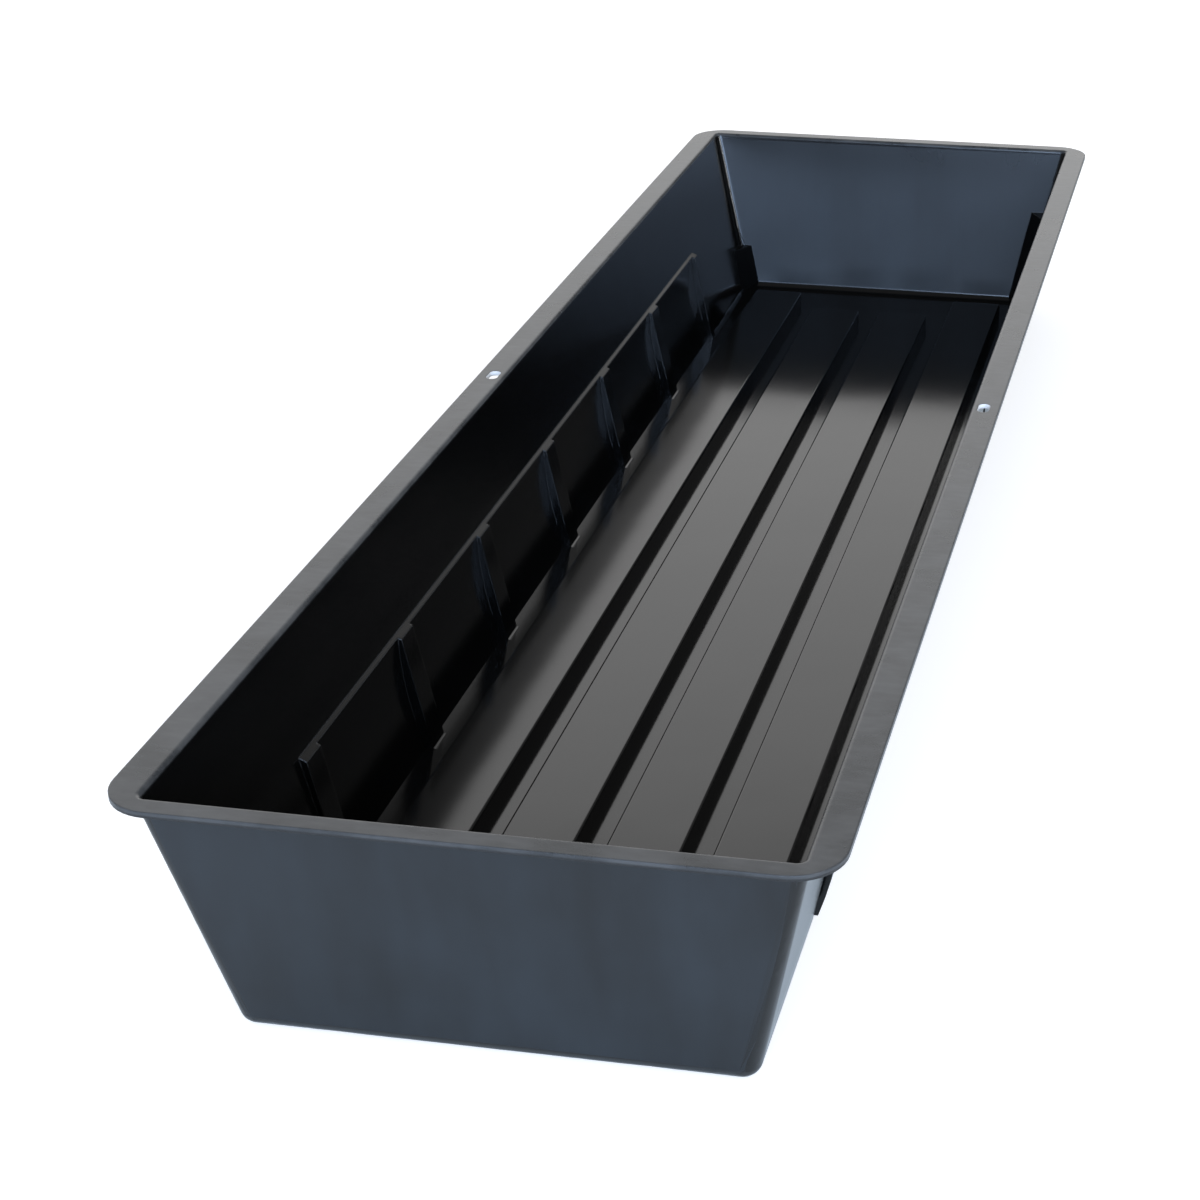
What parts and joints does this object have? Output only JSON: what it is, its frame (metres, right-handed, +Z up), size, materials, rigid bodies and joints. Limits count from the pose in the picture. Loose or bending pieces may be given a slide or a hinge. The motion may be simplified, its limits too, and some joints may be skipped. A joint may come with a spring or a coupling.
{
  "type": "hydroponic grow tank",
  "caption": "Long shallow tapered plastic trough with a flat rim, long walls scooped between ribs under a narrow ledge, and a floor of raised lands with drain grooves.",
  "frame": {"origin": "centre of the underside, at the level of the floor grooves' undersides", "axes": "+Y along the tank's length towards its stepped far corners, +X across its width, +Z up out of its open top"},
  "size_m": [0.345, 1.2, 0.135],
  "materials": {
    "tank": "glossy inside, hazy outside, scuffed rim"
  },
  "bodies": {
    "root": {"tank": "tank"}
  },
  "joints": []
}
